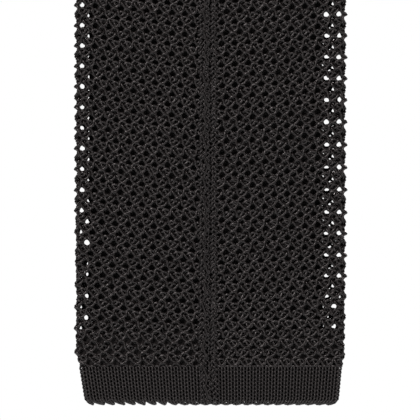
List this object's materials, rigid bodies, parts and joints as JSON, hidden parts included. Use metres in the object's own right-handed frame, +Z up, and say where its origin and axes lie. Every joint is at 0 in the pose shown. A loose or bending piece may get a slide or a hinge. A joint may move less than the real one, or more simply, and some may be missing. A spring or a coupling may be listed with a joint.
{
  "type": "necktie",
  "caption": "Black knitted silk necktie with a square end, a centre back seam, a plain-knit border and a turned-up hem, hanging over a rail.",
  "frame": {"origin": "centre of the 16 mm rail that the neck hangs over, on the tie's middle plane", "axes": "+Z up, +X across the tie, +Y out of the blade's decorative face; the tail hangs on the -Y side"},
  "size_m": [0.06, 0.0224, 0.8012],
  "materials": {
    "silk_knit": "black silk yarn in an openwork tuck knit",
    "border_knit": "black silk yarn in plain stockinette",
    "seam_knit": "black silk yarn, linked seam",
    "interlining": "black woven wool interlining",
    "keeper_ribbon": "black grosgrain ribbon",
    "label_satin": "blank black woven satin",
    "care_satin": "blank white printed satin tape",
    "sewing_thread": "black sewing thread"
  },
  "bodies": {
    "neck": {"neck_knit": "silk_knit", "neck_lining": "interlining", "neck_seam": "seam_knit"},
    "blade_upper": {"blade_upper_knit": "silk_knit", "blade_upper_lining": "interlining", "blade_upper_seam": "seam_knit"},
    "blade_lower": {"blade_lower_knit": "silk_knit", "blade_lower_lining": "interlining", "blade_lower_seam": "seam_knit", "blade_border": "border_knit", "blade_border_seam": "seam_knit", "blade_hem_facing": "border_knit", "blade_facing_stitches": "sewing_thread", "keeper_loop": "keeper_ribbon", "keeper_tacks": "sewing_thread", "blank_label": "label_satin", "label_stitches": "sewing_thread", "care_label_stitches": "sewing_thread"},
    "care_label": {"care_label": "care_satin"},
    "tail_upper": {"tail_upper_knit": "silk_knit", "tail_upper_lining": "interlining", "tail_upper_seam": "seam_knit"},
    "tail_lower": {"tail_lower_knit": "silk_knit", "tail_lower_lining": "interlining", "tail_lower_seam": "seam_knit", "tail_border": "border_knit", "tail_border_seam": "seam_knit", "tail_hem_facing": "border_knit", "tail_facing_stitches": "sewing_thread"}
  },
  "joints": [
    {"name": "blade_swing", "type": "hinge", "parent": "neck", "child": "blade_upper", "pos_m": [0, 0.0132, -0.02], "axis": [1, 0, 0], "range_deg": [0, 90]},
    {"name": "blade_fold", "type": "hinge", "parent": "blade_upper", "child": "blade_lower", "pos_m": [0, 0.0132, -0.405], "axis": [1, 0, 0], "range_deg": [0, 170]},
    {"name": "care_label_flip", "type": "hinge", "parent": "blade_lower", "child": "care_label", "pos_m": [0, 0.00715, -0.6], "axis": [-1, 0, 0], "range_deg": [0, 110]},
    {"name": "tail_swing", "type": "hinge", "parent": "neck", "child": "tail_upper", "pos_m": [0, -0.0132, -0.02], "axis": [-1, 0, 0], "range_deg": [0, 90]},
    {"name": "tail_fold", "type": "hinge", "parent": "tail_upper", "child": "tail_lower", "pos_m": [0, -0.0132, -0.345], "axis": [-1, 0, 0], "range_deg": [0, 170]}
  ]
}
